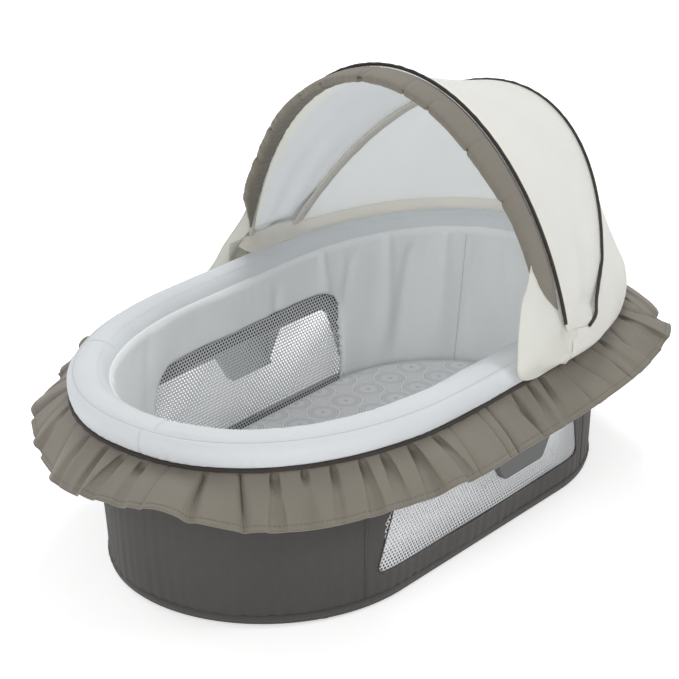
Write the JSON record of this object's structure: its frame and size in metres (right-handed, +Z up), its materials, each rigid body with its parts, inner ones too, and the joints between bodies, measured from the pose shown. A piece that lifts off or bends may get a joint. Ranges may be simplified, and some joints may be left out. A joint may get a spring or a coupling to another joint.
{
  "type": "travel play yard bassinet",
  "caption": "Portable oval bassinet of a travel play yard: padded rim, gathered skirt, mesh windows, mattress pad and a fold-back fabric canopy on wire bows.",
  "frame": {"origin": "on the floor, under the middle of the basket", "axes": "+X along the basket towards the head and canopy end, +Y to the left side, +Z up"},
  "size_m": [0.914, 0.579, 0.5365],
  "materials": {
    "dark_rubber": "matt moulded",
    "plated_steel": "zinc plated",
    "charcoal_fabric": "fine woven polyester",
    "fibreboard": "pressed board",
    "white_mesh": "open knitted net",
    "dark_binding": "ribbed binding tape",
    "liner_fabric": "quilted lining",
    "mattress_print": "knit with dotted circles",
    "grey_plastic": "moulded",
    "rim_fabric": "padded woven polyester",
    "taupe_fabric": "woven polyester",
    "canopy_fabric": "fine woven polyester",
    "flap_fabric": "fine woven polyester",
    "sleeve_fabric": "binding tape"
  },
  "bodies": {
    "basket": {"glide_feet": "dark_rubber", "foot_screws": "plated_steel", "base_cover": "charcoal_fabric", "base_board": "fibreboard", "base_ring": "plated_steel", "cross_bar_foot": "plated_steel", "cross_bar_middle": "plated_steel", "cross_bar_head": "plated_steel", "foot_panel": "charcoal_fabric", "head_panel": "charcoal_fabric", "side_panel_left": "charcoal_fabric", "side_panel_right": "charcoal_fabric", "outer_mesh_left": "white_mesh", "outer_mesh_right": "white_mesh", "hem_binding": "dark_binding", "liner_floor": "liner_fabric", "liner": "liner_fabric", "inner_mesh_left": "white_mesh", "inner_mesh_right": "white_mesh", "mattress_pad": "mattress_print", "mattress_board": "fibreboard", "rim_tube_head": "plated_steel", "rim_tube_foot": "plated_steel", "rim_joiner_left": "grey_plastic", "rim_joiner_right": "grey_plastic", "rim_binding": "dark_binding", "ruffle": "taupe_fabric", "dock_bracket_left": "grey_plastic", "dock_bracket_right": "grey_plastic", "bracket_screws": "plated_steel", "canopy_mount_left": "grey_plastic", "canopy_mount_right": "grey_plastic", "pivot_pin_left": "plated_steel", "pivot_pin_right": "plated_steel", "pin_spacer_left": "grey_plastic", "pin_spacer_right": "grey_plastic", "mount_screws": "plated_steel", "canopy_back": "canopy_fabric", "canopy_skirt": "canopy_fabric", "rim_padding_left": "rim_fabric", "rim_padding_head_left": "rim_fabric", "rim_padding_foot_left": "rim_fabric", "rim_padding_right": "rim_fabric", "rim_padding_head_right": "rim_fabric", "rim_padding_foot_right": "rim_fabric", "upright_foot": "plated_steel", "upright_foot_left": "plated_steel", "upright_foot_right": "plated_steel", "upright_head": "plated_steel", "upright_head_left": "plated_steel", "upright_head_right": "plated_steel"},
    "rear_canopy": {"rear_bow": "plated_steel", "rear_bow_link_left": "plated_steel", "rear_bow_link_right": "plated_steel", "rear_piping": "dark_binding", "rear_bow_sleeve": "sleeve_fabric"},
    "front_canopy": {"front_bow": "plated_steel", "front_bow_link_left": "plated_steel", "front_bow_link_right": "plated_steel", "front_piping": "dark_binding", "front_border": "taupe_fabric", "side_flap_left": "flap_fabric", "side_flap_right": "flap_fabric", "canopy_top": "canopy_fabric"}
  },
  "joints": [
    {"name": "canopy_fold", "type": "hinge", "parent": "basket", "child": "rear_canopy", "pos_m": [0.107, 0, 0.24], "axis": [0, 1, 0], "range_deg": [0, 18], "deforming": ["canopy_top", "canopy_back"]},
    {"name": "front_bow_fold", "type": "hinge", "parent": "rear_canopy", "child": "front_canopy", "pos_m": [0.107, 0, 0.24], "axis": [0, 1, 0], "range_deg": [0, 27], "deforming": ["canopy_top", "canopy_back"]}
  ],
  "couplings": [
    {"joint": "front_bow_fold", "follows": "canopy_fold", "ratio": 1.5}
  ]
}
